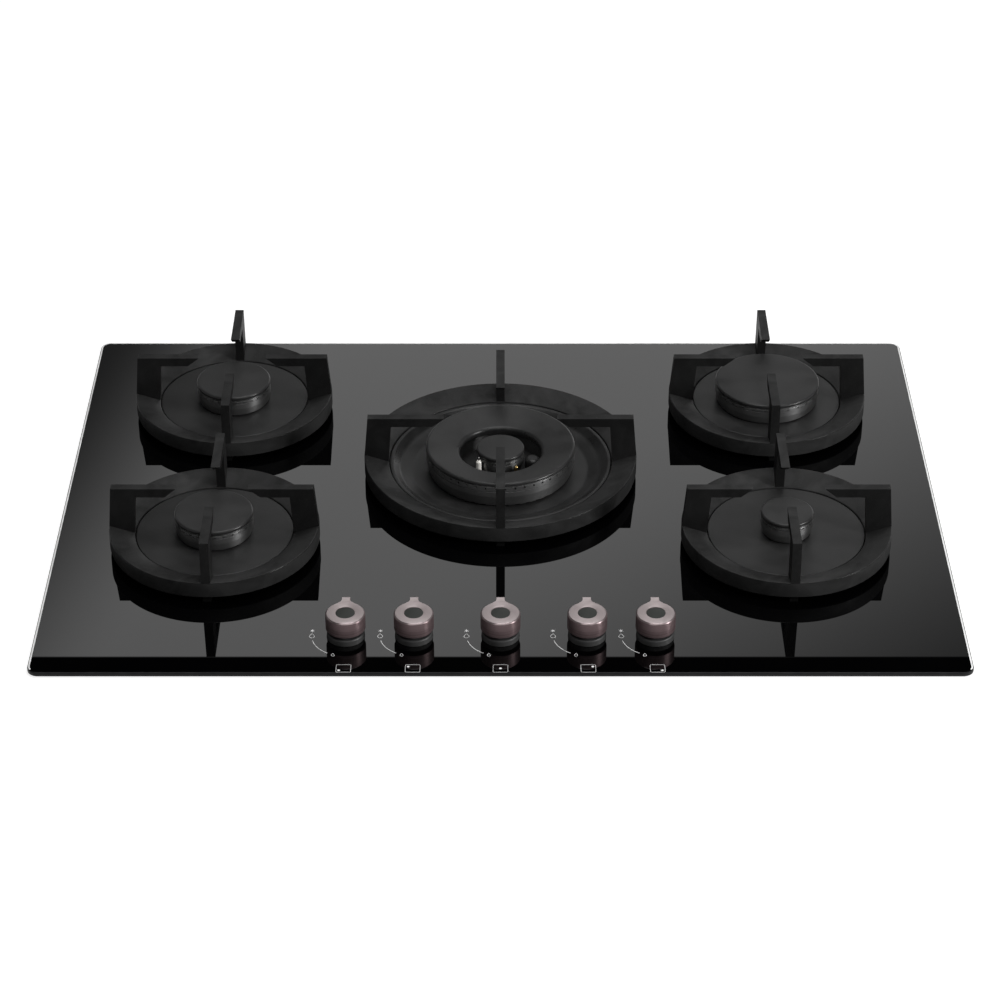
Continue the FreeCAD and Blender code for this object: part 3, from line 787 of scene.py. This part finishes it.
def slots(radius, height, count, size, deep=1.6):
    # one row of flat slot cutters round the axis
    width, tall = size
    tools = []
    for i in range(count):
        turn = 360 * (i + 0.5) / count
        outline = [(radius + deep * x, width / 2 * y) for x, y in fourCorners]
        tools.append(moved(slab(outline, height - tall / 2, height + tall / 2), turn=turn))
    return joined(*tools)


def addBurner(name):
    radius = single["capRadius"][name]
    at = places[name][:2]
    top = capTop - single["capThickness"]
    skirt = dishTop + single["skirtGap"]
    line = crownLine(radius, cups[name], dishTop - 1, skirt, top, single["taper"])
    ports = slots(radius, top - single["portDrop"], single["portCount"], single["portSize"])
    crown = combined(turned(line, 160), ports, "DIFFERENCE")
    addPiece("burner_crown_" + name, crown, "root", "crownBlack", at)
    cap = turned(capLine(radius, capTop), 160, closed=False)
    addPiece("burner_cap_" + name, cap, "root", "capBlack", at)


for name in single["capRadius"]:
    addBurner(name)

wok = {
    "sides": 208,
    "ringRadius": 65.0,
    "hole": 35.5,
    "lipWall": 2.4,
    "lipRound": 3.6,
    "lipDepth": 6.0,
    "ringFall": 7.0,  # the ring cap is dished down to its hole
    "ringTop": 30.0,  # these four are heights above the glass
    "innerTop": 26.2,
    "skirt": 5.0,
    "innerSkirt": 7.0,
    "seamDrop": 5.6,
    "taper": 2.6,
    "innerTaper": 2.0,
    "ringPorts": 48,
    "ringPortWidth": 1.9,
    "ringPortDrop": 2.4,
    "footSlots": 40,
    "footSlotSize": (4.2, 1.3),
    "innerRadius": 20.9,
    "innerNeck": 13.0,
    "innerPorts": 18,
    "innerPortSize": (2.4, 1.2),
    "bridge": {"at": (28.0, -3.0), "radius": 6.6, "round": 3.4, "top": 17.0},
}
wokAt = places["centre"][:2]
wokSeat = glassTop + dish["floorHeight"] - 1


def addOuterRing():
    ringTop = glassTop + wok["ringTop"]
    under = ringTop - single["capThickness"]
    skirt = glassTop + wok["skirt"]
    radius, hole, fall = wok["ringRadius"], wok["hole"], wok["ringFall"]
    lip = hole + wok["lipWall"]
    cup = cups["centre"]
    start = [(lip + dish["clearance"], wokSeat), (cup, wokSeat), (cup, skirt)]
    side = skirtSide(radius - 0.4, wok["taper"], skirt, under - wok["seamDrop"], under)
    line = rounded(start + side + [(lip + dish["clearance"], under - fall - 0.2)], 4)
    ports = drills(radius - 1.5, under - wok["ringPortDrop"], wok["ringPorts"], wok["ringPortWidth"])
    foot = slots(radius - 3, skirt + 0.4, wok["footSlots"], wok["footSlotSize"])
    ring = combined(turned(line, wok["sides"]), joined(ports, foot), "DIFFERENCE")
    addPiece("burner_crown_centre_outer", ring, "root", "crownBlack", wokAt)
    low = ringTop - fall - wok["lipDepth"]
    corners = [(hole, low, 0.5), (lip, low, 0.3), (lip, under - fall), (radius - 1, under, 0.3)]
    corners += [(radius, under + 1, 0.6), (radius, ringTop, 2.2), (hole, ringTop - fall, wok["lipRound"])]
    cap = turned(roundedLoop(corners, 6), wok["sides"])
    addPiece("burner_cap_centre_outer", cap, "root", "capBlack", wokAt)


def addInnerRing():
    top = glassTop + wok["innerTop"]
    under = top - single["capThickness"]
    radius, skirt = wok["innerRadius"], glassTop + wok["innerSkirt"]
    line = crownLine(radius, wok["innerNeck"], wokSeat, skirt, under, wok["innerTaper"])
    ports = slots(radius, under - single["portDrop"], wok["innerPorts"], wok["innerPortSize"])
    crown = combined(turned(line, 128), ports, "DIFFERENCE")
    addPiece("burner_crown_centre_inner", crown, "root", "crownBlack", wokAt,
             ["burner_crowns"])
    cap = turned(capLine(radius, top), 128, closed=False)
    addPiece("burner_cap_centre_inner", cap, "root", "capBlack", wokAt, ["burner_caps"])


def addBridge():
    # a round boss carries the flame over from the inner ring to the outer one
    bridge = wok["bridge"]
    radius = bridge["radius"]
    top = glassTop + bridge["top"]
    line = rounded([(0, wokSeat), (radius, wokSeat), (radius, top, bridge["round"]), (0, top)], 8)
    at = (wokAt[0] + bridge["at"][0], wokAt[1] + bridge["at"][1])
    boss = turned(line, 64, closed=False)
    addPiece("burner_bridge_centre", boss, "root", "capBlack", at)


addOuterRing()
addInnerRing()
addBridge()
print("burners turned and drilled")


sensor = {
    "standOff": 4.0,  # from the cap's edge
    "spacing": 12.0,  # between electrode and probe
    "electrode": 2.4,  # these three are radii
    "pin": 0.75,
    "probe": 1.6,
    "electrodeHeight": 10.0,
    "probeHeight": 12.0,
    "wokElectrode": (-18.8, -14.8, 21.5),  # from the burner's axis, and its top above the glass
    "wokElectrodeHeight": 18.0,
    "wokProbe": (13.5, -21.5, 20.5),
}


def addElectrode(name, at, foot, top, tall):
    # a glazed body with a waist, and the pin on it
    radius = sensor["electrode"]
    waist = radius - 0.5
    line = [(0, foot), (radius, foot, 0.2), (radius, foot + tall * 0.3, 0.3), (waist, foot + tall * 0.36),
            (waist, foot + tall * 0.42), (radius, foot + tall * 0.48, 0.3), (radius, top - 1.6, 0.6),
            (radius - 1.0, top, 0.4), (0, top)]
    body = turned(rounded(line, 4), 40, closed=False)
    addPiece("electrode_" + name, body, "root", "whiteCeramic", at,
             standIn(name, "electrode_insulators"))
    pinTop = top + boxOf("electrode_pins")[1].z - boxOf("electrode_insulators")[1].z
    line = rounded([(0, top - 1), (sensor["pin"], top - 1), (sensor["pin"], pinTop, 0.5), (0, pinTop)], 4)
    pin = turned(line, 20, closed=False)
    addPiece("spark_pin_" + name, pin, "root", "bareSteel", at,
             standIn(name, "electrode_pins"))


def addProbe(name, at, foot, top):
    radius = sensor["probe"]
    neck = radius - 0.35
    line = [(0, foot), (radius, foot), (radius, foot + 3, 0.3), (neck, foot + 3.5), (neck, top - 5),
            (radius, top - 4.6, 0.2), (radius, top - 1.5, 0.9), (0.4, top, 0.2), (0, top)]
    body = turned(rounded(line, 5), 32, closed=False)
    addPiece("flame_probe_" + name, body, "root", "brass", at, standIn(name, "flame_probes"))


def addSensors(name, radius):
    # behind each single burner, an electrode to the left and a probe to the right
    x, y, _ = places[name]
    back = y + radius + sensor["standOff"]
    half = sensor["spacing"] / 2
    tall = sensor["electrodeHeight"]
    addElectrode(name, (x - half, back), dishTop, dishTop + tall, tall)
    addProbe(name, (x + half, back), dishTop, dishTop + sensor["probeHeight"])


def addWokSensors():
    x, y = wokAt
    dx, dy, top = sensor["wokElectrode"]
    addElectrode("centre", (x + dx, y + dy), wokSeat, glassTop + top, sensor["wokElectrodeHeight"])
    dx, dy, top = sensor["wokProbe"]
    addProbe("centre", (x + dx, y + dy), wokSeat, glassTop + top)


for name, radius in single["capRadius"].items():
    addSensors(name, radius)
addWokSensors()
print("electrodes and probes set")


knob = {
    "underside": 8.5,  # height above the glass
    "hollow": 3.0,
    "chamfer": 1.15,
    "insert": 7.65,
    "insertGap": 0.15,
    "insertDepth": 0.35,
    "insertThickness": 1.2,
    "pointerWidth": 6.6,
    "pointerDepth": 5.6,
    "pointerFlare": 4.6,
    "spindle": 3.0,
}


def pointerOutline(reach):
    # straight sides, flared into the rim by an arc on each side
    half = knob["pointerWidth"] / 2
    radius = knobRadius - 0.5
    flare = knob["pointerFlare"]
    meet = math.sqrt((radius + flare) ** 2 - (half + flare) ** 2)
    steps = 8
    start = math.pi
    end = math.atan2(-meet, -(half + flare)) % (2 * math.pi)
    arc = []
    for i in range(steps + 1):
        a = start + (end - start) * i / steps
        arc.append((half + flare + flare * math.cos(a), meet + flare * math.sin(a)))
    outline = [(half, reach)] + arc + [(half * 2.2, radius * 0.55)]
    return outline + [(-x, y) for x, y in reversed(outline)]


def addKnob(node):
    low, high = boxOf(node)
    x = middleOf(node).x
    y = low.y + knobRadius
    top = high.z
    under = glassTop + knob["underside"]
    roof = under + knob["hollow"]
    radius, cut, recess = knobRadius, knob["chamfer"], knob["insert"] + knob["insertGap"]
    floor = top - knob["insertDepth"]
    shell = [(0, low.z), (knob["spindle"], low.z), (knob["spindle"], roof), (radius - 2.6, roof, 1),
             (radius - 2.2, under, 0.3), (radius, under, 0.5), (radius, top - cut, 0.25),
             (radius - cut, top, 0.3), (recess, top, 0.15), (recess, floor), (0, floor)]
    body = turned(rounded(shell, 3), 160, closed=False)
    pointer = slab(pointerOutline(high.y - y), top - knob["pointerDepth"], top - 0.01)
    body = combined(body, softened(pointer, 0.3, sharper=50), "UNION")
    addPiece(node + "_shell", body, node, "knobMetal", (x, y), [node], 30)
    insert, foot = knob["insert"], top - knob["insertThickness"]
    line = rounded([(0, foot), (insert, foot), (insert, top - 0.12, 0.2), (0, top - 0.05)], 3)
    addPiece(node + "_insert", turned(line, 96, closed=False), node, "knobInsert", (x, y))
    return x, y


collar = {
    "bore": 4.0,
    "foot": (15.5, 0.3),  # radius and edge round
    "shoulder": (15.3, 0.8),
    "shoulderHeight": 1.6,
    "rim": (15.1, 0.5),
    "roof": (14.6, 0.4),
}


def addCollar(name, at, stands):
    top = boxOf("knob_collars")[1].z
    heights = {"foot": glassTop, "shoulder": glassTop + collar["shoulderHeight"], "rim": top - 1, "roof": top}
    side = [(collar[key][0], height, collar[key][1]) for key, height in heights.items()]
    line = roundedLoop([(collar["bore"], glassTop), *side, (collar["bore"], top)], 4)
    addPiece("collar_" + name, turned(line, 128), "root", "collarGrey", at, stands)


marks = {
    "line": 0.42,
    "thickness": 0.03,
    "radius": 27.3,
    "arc": (194, 240),  # degrees
    "spark": {"up": 6.8, "long": 2.3, "short": 0.75},
    "bigFlame": (4.1, 5.8),
    "smallFlame": {"at": (-9.3, -25.8), "size": (2.5, 4.0), "line": 0.7},  # lines as shares of the main one
    "field": {"size": (11.7, 9.9), "at": -254.4, "round": 1.0, "dot": 1.1, "line": 0.65},
    "dots": {"front_left": (-3.6, -2.5), "rear_left": (-3.6, 2.5), "centre": (0, 0),
             "rear_right": (3.6, 2.5), "front_right": (3.6, -2.5)},
}


def circle(x, y, radius, sides=20):
    turns = [2 * math.pi * i / sides for i in range(sides)]
    return [(x + radius * math.cos(a), y + radius * math.sin(a)) for a in turns]


def flameOutline(x, y, size):
    # a drop: round below, drawn out to a point above
    width, tall = size
    radius = width / 2
    low = y - tall / 2 + radius
    turns = [math.radians(160 + 22 * i) for i in range(11)]
    bowl = [(x + radius * math.cos(a), low + radius * math.sin(a)) for a in turns]
    waist = y + tall * 0.24
    return bowl + [(x + radius * 0.5, waist), (x, y + tall / 2), (x - radius * 0.5, waist)]


def sparkOutline(x, y, longRay, shortRay):
    turns = [(math.radians(30 * i + 30), shortRay if i % 2 else longRay) for i in range(12)]
    return [(x + r * math.cos(a), y + r * math.sin(a)) for a, r in turns]


def addMarks(name, x, y):
    # printed beside each knob: spark, high flame, arc, low flame, and which burner the knob is for
    low, high = glassTop - 0.02, glassTop + marks["thickness"]
    line = marks["line"]
    spark, small, field = marks["spark"], marks["smallFlame"], marks["field"]
    flameAt = (x - marks["radius"], y)
    first, last = marks["arc"]
    steps = 18
    turns = [math.radians(first + (last - first) * i / steps) for i in range(steps + 1)]
    arc = [(x + marks["radius"] * math.cos(a), y + marks["radius"] * math.sin(a)) for a in turns]
    wide, deep = field["size"]
    box = [(x + a, field["at"] + b) for a, b in roundedBox(wide / 2, deep / 2, field["round"])]
    dotX, dotY = marks["dots"][name]
    lowFlame = flameOutline(x + small["at"][0], y + small["at"][1], small["size"])
    parts = [
        slab(sparkOutline(flameAt[0], y + spark["up"], spark["long"], spark["short"]), low, high),
        stroke(flameOutline(*flameAt, marks["bigFlame"]), line, low, high, closed=True),
        stroke(arc, line, low, high),
        stroke(lowFlame, line * small["line"], low, high, closed=True),
        stroke(box, line * field["line"], low, high, closed=True),
        slab(circle(x + dotX, field["at"] + dotY, field["dot"]), low, high),
    ]
    addPiece("marks_" + name, joined(*parts), "root", "printedWhite")


for name in burners:
    x, y = addKnob("knob_" + name)
    addCollar(name, (x, y), ["knob_collars"] if name == burners[-1] else [])
    addMarks(name, x, y)
print("knobs turned and marks printed")


inlet = {
    "block": 17.0,
    "flange": (14.0, 4.0),  # radius at its corners, and height
    "flangeUp": 12.7,  # from the burner box's underside to the flange
    "thread": 10.45,
    "neck": 9.5,
    "bore": 6.5,
    "pitch": 1.814,
    "threadDepth": 0.95,
}


def addInlet():
    # a square block inside the box, and a six-sided flange over a threaded stem outside
    low, high = boxOf("gas_inlet")
    x, y, _ = middleOf("gas_inlet")
    half = (high.x - low.x) / 2
    foot = high.z - inlet["block"]
    flangeLow = boxOf("burner_box")[0].z + inlet["flangeUp"]
    outside, tall = inlet["flange"]
    body = softened(slab(roundedBox(half, half, 2.0), foot, high.z), 0.8)
    nut = slab(circle(0, 0, outside, 6), flangeLow, flangeLow + tall)
    line = [(inlet["bore"], foot + half), (inlet["bore"], low.z + 0.8), (inlet["bore"] + 0.8, low.z)]
    crest, root = inlet["thread"], inlet["thread"] - inlet["threadDepth"]
    line += [(root, low.z), (root, low.z + 0.6)]
    turns = int((flangeLow - low.z - 1.2) / inlet["pitch"])
    for i in range(turns):
        start = low.z + 0.6 + i * inlet["pitch"]
        line += [(crest, start + inlet["pitch"] * 0.42), (crest, start + inlet["pitch"] * 0.58),
                 (root, start + inlet["pitch"])]
    line += [(inlet["neck"], flangeLow), (inlet["neck"], foot + half)]
    whole = joined(body, softened(nut, 0.6), turned(line, 72))
    addPiece("gas_inlet_fitting", whole, "root", "brass", (x, y), ["gas_inlet"])


gland = {
    "bore": 3.6,
    "head": 3.0,
    "stemInset": 0.8,
    "ribs": 16,
    "ribSize": (0.7, 2.2),
}


def addGland():
    # a ribbed nut outside the box, and a plain stem through its wall
    low, high = boxOf("cable_gland")
    x, _, z = middleOf("cable_gland")
    radius = (high.x - low.x) / 2
    long = high.y - low.y
    bore, stem, head = gland["bore"], radius - gland["stemInset"], long - gland["head"]
    line = [(bore, 0), (stem, 0), (stem, head - 0.2), (radius, head, 0.2), (radius, long - 0.8, 0.4),
            (radius - 0.9, long, 0.4), (bore, long, 0.5)]
    body = turned(rounded(line, 3), 64)
    ribs = slots(radius, long - 1.6, gland["ribs"], gland["ribSize"], 0.35)
    body = combined(body, ribs, "DIFFERENCE")
    body = moved(body, (x, low.y, z), tilt=Matrix.Rotation(math.radians(-90), 4, "X"))
    addPiece("cable_gland_nut", body, "root", "darkPlastic", stands=["cable_gland"])


addInlet()
addGland()
print("inlet and gland made")


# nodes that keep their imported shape, under the finish that each gets
keeps = {
    "sealRubber": ["edge_seal"],
    "platedSheet": ["burner_box", "fixing_clamps", "burner_brackets", "rail_brackets", "gas_rail"],
    "castIron": ["burner_cups"],
    "castAlloy": ["tap_bodies", "gas_pipes"],
    "bareSteel": ["supply_pipe"],
    "brass": ["injectors"],
    "darkPlastic": ["ignition_switches"],
    "palePlastic": ["spark_generator", "terminal_block"],
    "footRubber": [],
}
for name in burners:
    keeps["platedSheet"].append("ignition_slider_" + name)
    keeps["footRubber"].append("support_feet_" + name)
for look, names in keeps.items():
    for name in names:
        nodes[name].data.materials.clear()
        nodes[name].data.materials.append(finish[look])
print("finishes set")

bpy.context.scene.view_settings.view_transform = "Standard"
